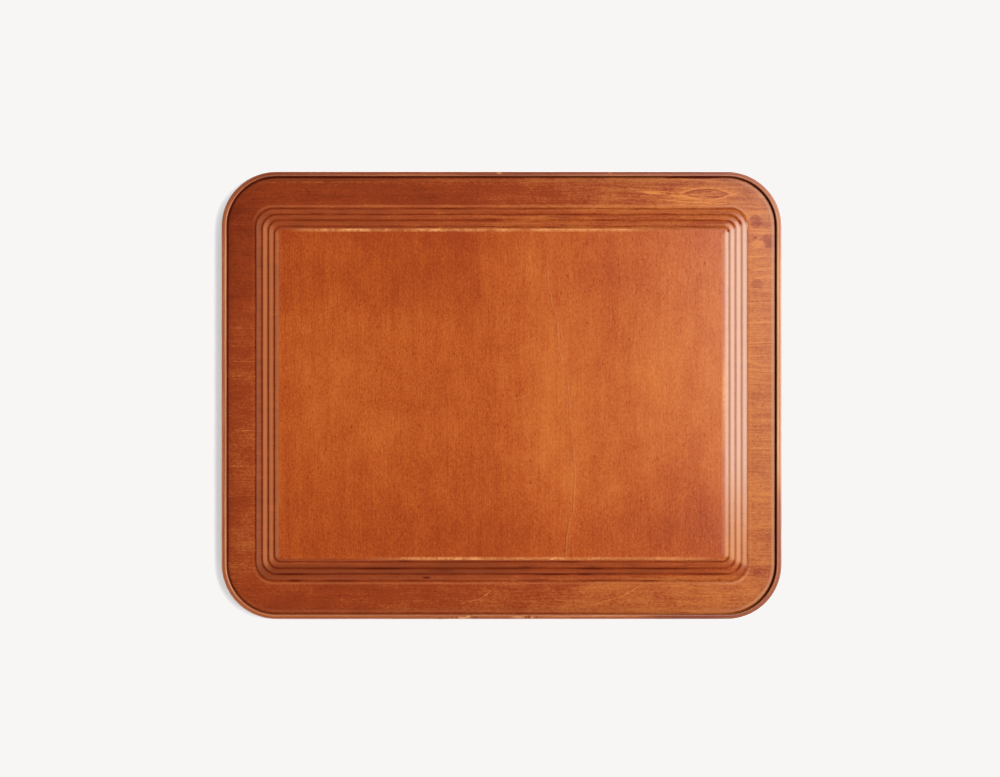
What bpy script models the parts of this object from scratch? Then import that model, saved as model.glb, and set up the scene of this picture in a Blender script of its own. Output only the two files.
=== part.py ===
"""Serving tray: a moulded seven-ply board held in a bent, laminated wooden rim.

Units are metres and +Z is up. The tray's length runs along X and its width along Y. The origin is at
the centre of the footprint, on the surface that the tray stands on.
"""
import math

import bmesh
import bpy

# ---------------------------------------------------------------- driving dimensions
TRAY_LENGTH = 0.450
TRAY_WIDTH = 0.3593
TRAY_HEIGHT = 0.015
CORNER_RADIUS = 0.044       # outside corner of the rim, seen from above
GLUE_LINE = 0.0003          # gap that stands for the glue between two pieces
CORNER_SEGMENTS = 10        # flats in each quarter turn of an outline

STRIP_THICKNESS = 0.0016    # each bent strip of the rim
STRIP_ROUNDING = 0.0004     # rounding along the strips' long edges

PLY_THICKNESS = 0.0008
BOARD_LIFT = 0.0065         # the board's underside above the table

FIELD_LENGTH = 0.3965       # raised field, where its moulding meets the flange
FIELD_WIDTH = 0.3019
FIELD_CORNER = 0.015        # corner radius at the foot of the moulding
PANEL_CORNER = 0.0035       # corner radius at the top of the moulding

# Beads of the moulding as (run, share of the whole rise), from the flange up to the centre panel
BEADS = ((0.0053, 0.29), (0.0051, 0.26), (0.0050, 0.26), (0.0034, 0.19))
BEAD_ANGLES = (30.0, 60.0)  # degrees round a bead's quarter ellipse where it has a ring of points

SCARF_X = -0.037            # middle of the joint in the rim, on the -Y side
SCARF_LENGTH = 0.028
SCARF_GAP = 0.0003

# ---------------------------------------------------------------- sizes that follow
PLY_PITCH = PLY_THICKNESS + GLUE_LINE
BASE_PLIES = ("back_ply", "lower_cross_ply", "core_ply", "flange_ply")
FIELD_PLIES = ("moulding_ply_lower", "moulding_ply_upper", "centre_panel")
FLANGE_TOP = BOARD_LIFT + len(BASE_PLIES) * PLY_PITCH - GLUE_LINE
FIELD_RISE = len(FIELD_PLIES) * PLY_PITCH
BOARD_INSET = STRIP_THICKNESS + GLUE_LINE
RIM_THICKNESS = 2 * STRIP_THICKNESS + GLUE_LINE
MOULDING_RUN = sum(run for run, share in BEADS)

# ---------------------------------------------------------------- colours (linear) and finish
STAINS = {
    "rim_outer_strip": (0.30, 0.085, 0.030),
    "rim_inner_strip_upper": (0.36, 0.105, 0.040),
    "rim_inner_strip_lower": (0.30, 0.080, 0.028),
    "back_ply": (0.27, 0.065, 0.020),
    "lower_cross_ply": (0.33, 0.120, 0.045),
    "core_ply": (0.36, 0.135, 0.055),
    "flange_ply": (0.32, 0.052, 0.016),
    "moulding_ply_lower": (0.34, 0.070, 0.022),
    "moulding_ply_upper": (0.40, 0.085, 0.030),
    "centre_panel": (0.50, 0.098, 0.024),
}
ROUGHNESS = 0.42


def clear_scene():
    for old in list(bpy.data.objects):
        bpy.data.objects.remove(old, do_unlink=True)


def new_collection(name):
    collection = bpy.data.collections.new(name)
    bpy.context.scene.collection.children.link(collection)
    return collection


def stained_wood(name):
    material = bpy.data.materials.new(name + "_wood")
    material.use_nodes = True
    shader = material.node_tree.nodes["Principled BSDF"]
    shader.inputs["Base Color"].default_value = (*STAINS[name], 1.0)
    shader.inputs["Roughness"].default_value = ROUGHNESS
    shader.inputs["Metallic"].default_value = 0.0
    return material


def rounded_rectangle(half_x, half_y, radius):
    """Corner points of an outline centred on the origin, anticlockwise from the +X+Y corner."""
    points = []
    for quarter, (side_x, side_y) in enumerate(((1, 1), (-1, 1), (-1, -1), (1, -1))):
        centre_x = side_x * (half_x - radius)
        centre_y = side_y * (half_y - radius)
        for step in range(CORNER_SEGMENTS + 1):
            angle = math.radians(90.0) * (quarter + step / CORNER_SEGMENTS)
            points.append((centre_x + radius * math.cos(angle), centre_y + radius * math.sin(angle)))
    return points


def outline_curve(name, points, height, fill_mode):
    """A closed flat outline, extruded by half its height to each side of its own plane."""
    curve = bpy.data.curves.new(name, "CURVE")
    curve.dimensions = "2D"
    curve.fill_mode = fill_mode
    curve.extrude = height / 2
    spline = curve.splines.new("POLY")
    spline.points.add(len(points) - 1)
    for point, (x, y) in zip(spline.points, points):
        point.co = (x, y, 0.0, 1.0)
    spline.use_cyclic_u = True
    return bpy.data.objects.new(name, curve)


def curve_to_mesh(curve_object, collection):
    """Replace a curve object by a mesh object of the same name, place and shape."""
    bpy.context.view_layer.update()
    evaluated = curve_object.evaluated_get(bpy.context.evaluated_depsgraph_get())
    mesh = bpy.data.meshes.new_from_object(evaluated)
    matrix = curve_object.matrix_world.copy()
    name = curve_object.name
    bpy.data.objects.remove(curve_object, do_unlink=True)
    welded = bmesh.new()
    welded.from_mesh(mesh)
    bmesh.ops.remove_doubles(welded, verts=welded.verts, dist=0.00001)
    bmesh.ops.recalc_face_normals(welded, faces=welded.faces)
    welded.to_mesh(mesh)
    welded.free()
    mesh_object = bpy.data.objects.new(name, mesh)
    mesh_object.matrix_world = matrix
    collection.objects.link(mesh_object)
    return mesh_object


def shade(mesh_object):
    mesh_object.data.shade_smooth()
    mesh_object.data.set_sharp_from_angle(angle=math.radians(30.0))
    mesh_object.data.materials.clear()
    mesh_object.data.materials.append(stained_wood(mesh_object.name))


def base_ply(name, level, collection):
    """A full-size veneer, level 0 being the tray's underside."""
    points = rounded_rectangle(
        TRAY_LENGTH / 2 - BOARD_INSET, TRAY_WIDTH / 2 - BOARD_INSET, CORNER_RADIUS - BOARD_INSET
    )
    curve_object = outline_curve(name, points, PLY_THICKNESS, "BOTH")
    curve_object.location.z = BOARD_LIFT + level * PLY_PITCH + PLY_THICKNESS / 2
    collection.objects.link(curve_object)
    shade(curve_to_mesh(curve_object, collection))


def moulding_rings():
    """(height, inset) of the rings of points on the moulding, from its foot to the centre panel."""
    rings = [(0.0, 0.0)]
    height = 0.0
    inset = 0.0
    for run, share in BEADS:
        rise = share * FIELD_RISE
        for degrees in (*BEAD_ANGLES, 90.0):
            angle = math.radians(degrees)
            rings.append((height + rise * math.sin(angle), inset + run * (1.0 - math.cos(angle))))
        height += rise
        inset += run
    return rings


def inset_at(height, rings):
    """How far in from its foot the moulding's surface is at a height above the flange."""
    for (low, low_inset), (high, high_inset) in zip(rings, rings[1:]):
        if height <= high:
            return low_inset + (high_inset - low_inset) * (height - low) / (high - low)
    return rings[-1][1]


def field_ply(name, level, collection):
    """A veneer that was cut back by the moulding, level 0 being the one on the flange."""
    rings = moulding_rings()
    bottom = level * PLY_PITCH + GLUE_LINE
    top = (level + 1) * PLY_PITCH
    heights = [bottom]
    for height, inset in rings:
        if bottom + GLUE_LINE / 4 < height < top - GLUE_LINE / 4:
            heights.append(height)
    heights.append(top)

    form = bmesh.new()
    loops = []
    for height in heights:
        inset = inset_at(height, rings)
        radius = FIELD_CORNER + (PANEL_CORNER - FIELD_CORNER) * inset / MOULDING_RUN
        outline = rounded_rectangle(FIELD_LENGTH / 2 - inset, FIELD_WIDTH / 2 - inset, radius)
        loops.append([form.verts.new((x, y, FLANGE_TOP + height)) for x, y in outline])
    count = len(loops[0])
    for lower, upper in zip(loops, loops[1:]):
        for i in range(count):
            j = (i + 1) % count
            form.faces.new((lower[i], lower[j], upper[j], upper[i]))
    form.faces.new(loops[-1])
    form.faces.new(reversed(loops[0]))
    mesh = bpy.data.meshes.new(name)
    form.to_mesh(mesh)
    form.free()
    ply = bpy.data.objects.new(name, mesh)
    collection.objects.link(ply)
    shade(ply)


def scarf_cutter(collection):
    """A thin slanting blade through the whole rim: where the strips' tapered ends meet."""
    bpy.ops.mesh.primitive_cube_add(size=1.0)
    blade = bpy.context.object
    blade.name = "scarf_cutter"
    blade.dimensions = (1.4 * SCARF_LENGTH, SCARF_GAP, 2 * TRAY_HEIGHT)
    bpy.ops.object.transform_apply(location=False, rotation=False, scale=True)
    blade.rotation_euler.z = math.atan2(RIM_THICKNESS, SCARF_LENGTH)
    blade.location = (SCARF_X, RIM_THICKNESS / 2 - TRAY_WIDTH / 2, TRAY_HEIGHT / 2)
    blade.hide_render = True
    blade.display_type = "WIRE"
    for holder in list(blade.users_collection):
        holder.objects.unlink(blade)
    collection.objects.link(blade)
    return blade


def rim_strip(name, inset, bottom, top, cutter, collection):
    """A bent strip whose outer face is inset from the tray's outline, open at the scarf joint."""
    middle = inset + STRIP_THICKNESS / 2
    points = rounded_rectangle(
        TRAY_LENGTH / 2 - middle, TRAY_WIDTH / 2 - middle, CORNER_RADIUS - middle
    )
    curve_object = outline_curve(name, points, top - bottom, "NONE")
    curve_object.location.z = (top + bottom) / 2
    collection.objects.link(curve_object)
    strip = curve_to_mesh(curve_object, collection)

    wall = strip.modifiers.new("thickness", "SOLIDIFY")
    wall.thickness = STRIP_THICKNESS
    wall.offset = 0.0
    wall.use_even_offset = True

    rounding = strip.modifiers.new("rounded edges", "BEVEL")
    rounding.width = STRIP_ROUNDING
    rounding.segments = 2
    rounding.limit_method = "ANGLE"
    rounding.angle_limit = math.radians(60.0)

    joint = strip.modifiers.new("scarf joint", "BOOLEAN")
    joint.operation = "DIFFERENCE"
    joint.object = cutter
    joint.solver = "EXACT"
    shade(strip)


def build_tray():
    clear_scene()
    tray = new_collection("serving_tray")
    cutters = new_collection("cutters")
    for level, name in enumerate(BASE_PLIES):
        base_ply(name, level, tray)
    for level, name in enumerate(FIELD_PLIES):
        field_ply(name, level, tray)
    blade = scarf_cutter(cutters)
    inner_inset = STRIP_THICKNESS + GLUE_LINE
    rim_strip("rim_outer_strip", 0.0, 0.0, TRAY_HEIGHT, blade, tray)
    rim_strip("rim_inner_strip_upper", inner_inset, FLANGE_TOP + GLUE_LINE, TRAY_HEIGHT, blade, tray)
    rim_strip("rim_inner_strip_lower", inner_inset, 0.0, BOARD_LIFT - GLUE_LINE, blade, tray)


build_tray()
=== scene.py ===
"""Looks of the wooden serving tray: its bent rim, its moulded board and the stained wood they are made of.

Every length is in metres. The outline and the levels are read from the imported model. The moulding's beads
repeat the design's runs and rises at the tray's two ends, and have runs of their own along its long sides.
The rim is a little thicker at the ends than along the long sides.
"""
import math

import bmesh
import bpy
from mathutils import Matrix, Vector, noise


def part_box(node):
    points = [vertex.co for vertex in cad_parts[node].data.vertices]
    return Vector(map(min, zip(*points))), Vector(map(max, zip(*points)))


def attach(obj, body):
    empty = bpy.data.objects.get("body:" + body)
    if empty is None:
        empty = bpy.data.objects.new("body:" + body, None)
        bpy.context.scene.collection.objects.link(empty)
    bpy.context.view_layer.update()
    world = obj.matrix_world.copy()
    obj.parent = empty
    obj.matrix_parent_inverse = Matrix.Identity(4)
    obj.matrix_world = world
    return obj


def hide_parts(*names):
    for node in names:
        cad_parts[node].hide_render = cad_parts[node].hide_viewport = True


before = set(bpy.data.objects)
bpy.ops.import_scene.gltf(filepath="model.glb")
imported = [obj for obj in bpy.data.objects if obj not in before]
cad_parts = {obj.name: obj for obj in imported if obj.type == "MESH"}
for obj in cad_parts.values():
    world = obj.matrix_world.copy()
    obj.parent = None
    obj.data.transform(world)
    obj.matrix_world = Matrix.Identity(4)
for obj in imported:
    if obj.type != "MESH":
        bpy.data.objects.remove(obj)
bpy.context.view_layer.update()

# ---------------------------------------------------------------- levels and outline, from the frame
RIM_LOW, RIM_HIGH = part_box("rim_outer_strip")
HALF_LENGTH = RIM_HIGH[0]
HALF_WIDTH = RIM_HIGH[1]
RIM_TOP = RIM_HIGH[2]
BOARD_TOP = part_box("centre_panel")[1][2]
FLANGE_LOW, FLANGE_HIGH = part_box("flange_ply")
FLANGE_TOP = FLANGE_HIGH[2]
BOARD_HALF_LENGTH = FLANGE_HIGH[0]
BOARD_HALF_WIDTH = FLANGE_HIGH[1]

CORNER_RADIUS = 0.044       # outside corner of the rim, seen from above
RIM_THICKNESS = 0.0038      # at the tray's two ends
LONG_SIDE_THINNING = 0.105  # share of its thickness that the rim lacks along the long sides
SEAM = 0.00006              # what is left of the glue line between two pieces that touch

# ---------------------------------------------------------------- the moulding
FIELD_HALF_LENGTH = 0.19825     # to the moulding's foot
FIELD_HALF_WIDTH = 0.14985
FIELD_CORNER = 0.015        # corner radius at the moulding's foot
PANEL_CORNER = 0.0035       # and at its top
BEADS = ((0.0053, 0.29), (0.0051, 0.26), (0.0050, 0.26), (0.0034, 0.19))    # (run, share of the rise)
MOULDING_RUN = sum(run for run, share in BEADS)
LONG_SIDE_RUNS = (0.0052, 0.0045, 0.0057, 0.0018)   # the same beads along the two long sides
FIELD_SHIFT = 0.0005        # the moulding's foot sits this far towards +Y on the board
PANEL_SHIFT = 0.0009        # and the panel inside it this far
BEAD_SAMPLES = 9
BEAD_FULLNESS = 2.6         # how steeply each bead starts
QUIRK_DEPTH = 0.00034       # the narrow groove between two beads
QUIRK_WIDTH = 0.00036
GROOVE_STAIN_WIDTH = 0.00075
BEAD_WEAR_AND_SHEEN = (0.30, 0.80, 0.66, 0.45)    # how far the stain is rubbed off each bead at the tray's two ends, with a painted sheen on the crests
PLAIN_WEAR = 0.14           # and off every bead along the long sides
CUTTER_SWAY = 0.00012       # how far the moulding's lines wander
ARRIS_SWAY = 0.0001         # how far the panel's arris and the moulding's foot wander

SMOOTH_ANGLE = math.radians(35.0)   # sharper bends than this show as an edge
SIDE_STEPS_X = 132          # points along a long side of a ring
SIDE_STEPS_Y = 104
CORNER_STEPS = 12

# ---------------------------------------------------------------- the centre panel's face
FACE_RING = 0.0024          # from the arris to the ring that the face is stitched to
FACE_MARGIN = 0.0042        # from the arris to where the face's grid starts
ARRIS_WIDTH = 0.0020        # how wide the arris is rubbed on the panel's side
ARRIS_SLOPE_WIDTH = 0.0007  # and on the moulding's side
FACE_ROW = 0.0016
FACE_COLUMNS_LEFT = 72
FACE_COLUMNS_RIGHT = 44
# A hairline shrinkage check that wanders from the back edge to the front edge, as (x, y)
CHECK_ROUTE = (
    (0.0350, 0.1345), (0.0360, 0.1120), (0.0366, 0.0980), (0.0374, 0.0870), (0.0392, 0.0789),
    (0.0446, 0.0577), (0.0459, 0.0387), (0.0486, 0.0256), (0.0519, 0.0175), (0.0527, 0.0095),
    (0.0545, -0.0066), (0.0553, -0.0257), (0.0572, -0.0388), (0.0583, -0.0549), (0.0585, -0.0710),
    (0.0572, -0.0927), (0.0540, -0.1008), (0.0519, -0.1169), (0.0506, -0.1345),
)
# Across the check: offset from the route, height, and stain (below 0 the gap, above 0 its pale raised lip)
CHECK_SECTION = (
    (-0.0011, 0.0, 0.0), (-0.0006, -0.00002, -0.6), (-0.0002, -0.00005, -0.9),
    (0.0002, 0.00002, 0.8), (0.0006, 0.00003, 0.9), (0.0011, 0.0, 0.0),
)

# ---------------------------------------------------------------- the rim's scarf joint
SCARF_START = -0.051        # on the -Y side, where the outer face's feather edge begins
SCARF_LENGTH = 0.028
PATH_STEP = 0.003
SCARF_STEP = 0.0008

# ---------------------------------------------------------------- camera and light
CAMERA_HEIGHT = 1.30        # above the rim
VIEW_WIDTH = 0.8029         # what the picture's width takes in, level with the rim
CAMERA_X = -0.00135
CAMERA_Y = 0.0055
SENSOR_WIDTH = 36.0
PAPER_WHITE = (0.930, 0.922, 0.905)     # the overexposed floor's level, red, green and blue
FLOOR_COLOUR = (0.86, 0.86, 0.86)
FLOOR_REACH = 15.0
FLOOR_DROP = 0.0002         # below the rim's foot
KEY_SIZE = (1.4, 1.0)
KEY_ENERGY = 52.5
KEY_DISTANCE = 2.2
KEY_TILT = math.radians(30.5)       # from straight overhead
KEY_SWING = math.radians(11.0)      # from +X towards +Y
SKY_COLOUR = (0.96, 1.0, 1.02)
SKY_BAND = (0.35, 0.95)     # the heights, 0 level and 1 overhead, between which the sky weakens
SKY_STRENGTH = (2.25, 0.18)         # below that band and above it


def rolling(seed, *coordinates):
    """Smooth noise in -1..1, different for each seed."""
    x, y, z = (list(coordinates) + [0.0, 0.0])[:3]
    return noise.noise(Vector((x + 17.3 * seed, y - 5.1 * seed, z + 3.7 * seed)))


# ================================================================ meshes

def finish_piece(name, node, form, material):
    """Turn a bmesh into a shaded object that stands for a CAD node and rides on the tray's only body."""
    bmesh.ops.recalc_face_normals(form, faces=form.faces)
    mesh = bpy.data.meshes.new(name)
    form.to_mesh(mesh)
    form.free()
    mesh.shade_smooth()
    mesh.set_sharp_from_angle(angle=SMOOTH_ANGLE)
    mesh.materials.append(material)
    piece = bpy.data.objects.new(name, mesh)
    bpy.context.scene.collection.objects.link(piece)
    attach(piece, "root")
    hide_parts(node)


def ring_points(half_x, half_y, radius):
    """Outline points, anticlockwise from the middle of the +X+Y corner, the same number for every size."""
    corners = ((1, 1), (-1, 1), (-1, -1), (1, -1))
    points = []
    for quarter, (side_x, side_y) in enumerate(corners):
        centre = (side_x * (half_x - radius), side_y * (half_y - radius))
        following = corners[(quarter + 1) % 4]
        next_centre = (following[0] * (half_x - radius), following[1] * (half_y - radius))
        for step in range(CORNER_STEPS // 2):
            angle = math.radians(90.0) * (quarter + 0.5 + step / CORNER_STEPS)
            points.append((centre[0] + radius * math.cos(angle), centre[1] + radius * math.sin(angle)))
        angle = math.radians(90.0) * (quarter + 1)
        offset = (radius * math.cos(angle), radius * math.sin(angle))
        steps = SIDE_STEPS_X if quarter % 2 == 0 else SIDE_STEPS_Y
        for step in range(steps):
            share = step / steps
            points.append((
                centre[0] + (next_centre[0] - centre[0]) * share + offset[0],
                centre[1] + (next_centre[1] - centre[1]) * share + offset[1],
            ))
        for step in range(CORNER_STEPS // 2):
            turn = angle + math.radians(90.0) * step / CORNER_STEPS
            points.append((
                next_centre[0] + radius * math.cos(turn),
                next_centre[1] + radius * math.sin(turn),
            ))
    return points


# ---------------------------------------------------------------- the board

def bead_profile():
    """(inset, height, groove) of points up the moulding: groove is 1 in the crease between two beads."""
    rise_total = BOARD_TOP - FLANGE_TOP
    samples = []
    inset = 0.0
    height = 0.0
    for number, (run, share) in enumerate(BEADS):
        rise = share * rise_total
        first = 0 if number == 0 else 1
        for step in range(first, BEAD_SAMPLES + 1):
            u = (step / BEAD_SAMPLES) ** 1.3
            distance = min(u * run, (1.0 - u) * run if number < len(BEADS) - 1 else run)
            quirk = math.exp(-((distance / QUIRK_WIDTH) ** 2))
            groove = math.exp(-((distance / GROOVE_STAIN_WIDTH) ** 2))
            z = height + rise * (1.0 - (1.0 - u) ** BEAD_FULLNESS) - QUIRK_DEPTH * quirk
            samples.append((inset + u * run, max(z, 0.0), groove))
        inset += run
        height += rise
    return samples


class Marks:
    """Numbers kept on a mesh's points for its material to read."""

    NAMES = ("groove", "field", "rub", "flank", "worn", "check", "edge")

    def __init__(self, form):
        self.layers = {name: form.verts.layers.float.new(name) for name in self.NAMES}

    def set(self, vertex, **values):
        for name, value in values.items():
            vertex[self.layers[name]] = value


def rubbed(x, y):
    """How far the stain is rubbed off the panel's arris at a place along it."""
    patchy = 0.62 + 0.55 * rolling(21, x * 55.0, y * 55.0) + 0.35 * rolling(22, x * 240.0, y * 240.0)
    if abs(y) > abs(x) - FIELD_HALF_LENGTH + FIELD_HALF_WIDTH:
        if y > 0:
            spread = min((x + 0.172) / 0.03, (0.135 - x) / 0.05)
            tone = 1.0
        else:
            spread = min((x + 0.112) / 0.03, (0.176 - x) / 0.03)
            bright = max(math.exp(-(((x + 0.022) / 0.026) ** 2)), math.exp(-(((x - 0.044) / 0.008) ** 2)))
            tone = 0.55 + 0.75 * bright
    else:
        spread = 1.0 - (y / 0.05) ** 2 if x > 0 else 0.15
        tone = 0.7
    return max(0.0, min(1.0, spread)) * max(0.0, min(1.3, patchy * tone))


def bead_wear_and_sheen(inset):
    """How far the stain is rubbed off the bead that is at an inset from the moulding's foot, and how much
    painted sheen its crest gets.
    """
    edge = 0.0
    for (run, share), wear in zip(BEADS, BEAD_WEAR_AND_SHEEN):
        if edge <= inset <= edge + run:
            return wear
        edge += run
    return 0.0


def long_side_inset(inset):
    """How far in a ring is on the long sides, when it is this far in on the tray's two ends."""
    edge = 0.0
    long_edge = 0.0
    for (run, share), long_run in zip(BEADS, LONG_SIDE_RUNS):
        if inset < edge + run:
            return long_edge + max(inset - edge, 0.0) * long_run / run + min(inset, 0.0)
        edge += run
        long_edge += long_run
    return long_edge + inset - edge


def moulding_loop(form, marks, inset, height, jitter, groove, field, rub):
    """One slightly uneven ring of points round the moulding, its creases part filled on the long sides."""
    share = min(inset / MOULDING_RUN, 1.0)
    radius = FIELD_CORNER + (PANEL_CORNER - FIELD_CORNER) * share
    half_x = FIELD_HALF_LENGTH - inset
    half_y = FIELD_HALF_WIDTH - long_side_inset(inset)
    shift = FIELD_SHIFT + (PANEL_SHIFT - FIELD_SHIFT) * max(0.0, min(4.0 * share, 1.0))
    loop = []
    for x, y in ring_points(half_x, half_y, radius):
        y += shift
        sway = jitter * rolling(1, x * 60.0, y * 60.0, inset * 250.0)
        length = math.hypot(x, y)
        flank = max(0.0, min(1.0, (abs(x) - half_x + radius) / radius)) ** 4
        filled = max(0.0, min(0.9, 0.50 + 0.9 * rolling(3, x * 32.0, y * 8.0, inset * 700.0)))
        filled *= 1.0 - flank
        lift = 0.9 * QUIRK_DEPTH * groove ** 4 * filled if 0.0 < inset < MOULDING_RUN else 0.0
        vertex = form.verts.new((
            x * (1 + sway / length), y * (1 + sway / length), FLANGE_TOP + height + lift
        ))
        # Wear on the crests, and at the two ends a painted sheen too
        worn = (1.0 - groove) ** 2 * (PLAIN_WEAR + flank * (bead_wear_and_sheen(inset) - PLAIN_WEAR))
        marks.set(vertex, groove=groove, field=field, rub=rub * rubbed(x, y), flank=flank, worn=worn)
        loop.append(vertex)
    return loop


def join_loops(form, lower, upper):
    count = len(lower)
    for i in range(count):
        j = (i + 1) % count
        form.faces.new((lower[i], lower[j], upper[j], upper[i]))


def moulding_rings(form, marks, level, levels):
    """The rings of a veneer of the raised field: the part of the moulding between two glue lines."""
    samples = bead_profile()
    rise_total = BOARD_TOP - FLANGE_TOP
    low = rise_total * level / levels
    high = rise_total * (level + 1) / levels
    own = [sample for sample in samples if low - 1e-9 <= sample[1] <= high + 1e-9]
    if level > 0:
        before = [sample for sample in samples if sample[1] < low][-1]
        share = (low - before[1]) / (own[0][1] - before[1])
        own.insert(0, (before[0] + (own[0][0] - before[0]) * share, low + SEAM, own[0][2]))
    if level < levels - 1:
        after = [sample for sample in samples if sample[1] > high][0]
        share = (high - own[-1][1]) / (after[1] - own[-1][1])
        own.append((own[-1][0] + (after[0] - own[-1][0]) * share, high, own[-1][2]))
    own.sort()
    loops = []
    for inset, height, groove in own:
        wear = math.exp(-(((inset - MOULDING_RUN) / ARRIS_SLOPE_WIDTH) ** 2))
        loops.append(moulding_loop(form, marks, inset, height, CUTTER_SWAY, groove, 0.0, wear))
    for lower, upper in zip(loops, loops[1:]):
        join_loops(form, lower, upper)
    return loops


def moulded_ply(name, node, level, levels, material):
    form = bmesh.new()
    marks = Marks(form)
    loops = moulding_rings(form, marks, level, levels)
    form.faces.new(reversed(loops[0]))
    form.faces.new(loops[-1])
    finish_piece(name, node, form, material)


def check_place(y):
    """Where the check crosses the line at y."""
    for (x_back, y_back), (x_front, y_front) in zip(CHECK_ROUTE, CHECK_ROUTE[1:]):
        if y_front <= y <= y_back:
            share = (y_back - y) / (y_back - y_front)
            share = share * share * (3.0 - 2.0 * share)
            wander = 0.0005 * rolling(31, y * 130.0) + 0.0003 * rolling(32, y * 420.0)
            return x_back + (x_front - x_back) * share + wander
    raise ValueError("y is past the end of the check")


def check_strength(y):
    broken = 0.75 + 0.65 * rolling(33, y * 48.0) + 0.50 * rolling(34, y * 210.0)
    fade = min(1.0, max(0.0, (0.112 - y) / 0.02))
    return max(0.1, min(1.0, broken)) * fade


def centre_face(form, marks, boundary, half_x, half_y):
    """The panel's flat face: a grid whose columns gather along the check, stitched to a ring round it."""
    rows = int(round(2 * half_y / FACE_ROW))
    grid = []
    for row in range(rows + 1):
        y = half_y - 2 * half_y * row / rows
        middle = check_place(y)
        strength = check_strength(y)
        first = middle + CHECK_SECTION[0][0]
        last = middle + CHECK_SECTION[-1][0]
        line = []
        for column in range(FACE_COLUMNS_LEFT):
            line.append((-half_x + (first + half_x) * column / FACE_COLUMNS_LEFT, 0.0, 0.0))
        for offset, lift, stain in CHECK_SECTION:
            line.append((middle + offset, lift * strength, stain * strength))
        for column in range(1, FACE_COLUMNS_RIGHT + 1):
            line.append((last + (half_x - last) * column / FACE_COLUMNS_RIGHT, 0.0, 0.0))
        points = []
        for x, lift, stain in line:
            edge = row in (0, rows) or x in (line[0][0], line[-1][0])
            vertex = form.verts.new((x, y, BOARD_TOP + (0.0 if edge else lift)))
            marks.set(vertex, field=1.0, check=stain)
            points.append(vertex)
        grid.append(points)
    for upper, lower in zip(grid, grid[1:]):
        for i in range(len(upper) - 1):
            form.faces.new((lower[i], lower[i + 1], upper[i + 1], upper[i]))
    right_side = [points[-1] for points in grid[1:]]
    left_side = [points[0] for points in grid[-2:0:-1]]
    outline = grid[0] + right_side + grid[-1][-2::-1] + left_side
    edges = []
    for loop in (boundary, outline):
        for i, vertex in enumerate(loop):
            following = loop[(i + 1) % len(loop)]
            edges.append(form.edges.get((vertex, following)) or form.edges.new((vertex, following)))
    bmesh.ops.triangle_fill(form, edges=edges, use_beauty=True, normal=(0.0, 0.0, 1.0))


def centre_ply(name, node, level, levels, material):
    """The top veneer: the last of the moulding, the arris and the panel's face with its check."""
    form = bmesh.new()
    marks = Marks(form)
    loops = moulding_rings(form, marks, level, levels)
    form.faces.new(reversed(loops[0]))
    top = BOARD_TOP - FLANGE_TOP
    for beyond, drop, field in ((0.0003, 0.00001, 0.55), (0.0009, 0.0, 1.0), (0.0017, 0.0, 1.0)):
        wear = math.exp(-((beyond / ARRIS_WIDTH) ** 2))
        inset = MOULDING_RUN + beyond
        loops.append(moulding_loop(form, marks, inset, top - drop, ARRIS_SWAY, 0.0, field, wear))
        join_loops(form, loops[-2], loops[-1])
    boundary = moulding_loop(form, marks, MOULDING_RUN + FACE_RING, top, 0.0, 0.0, 1.0, 0.0)
    join_loops(form, loops[-1], boundary)
    half_x = FIELD_HALF_LENGTH - MOULDING_RUN - FACE_MARGIN
    half_y = FIELD_HALF_WIDTH - sum(LONG_SIDE_RUNS) - FACE_MARGIN
    centre_face(form, marks, boundary, half_x, half_y)
    finish_piece(name, node, form, material)


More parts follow.
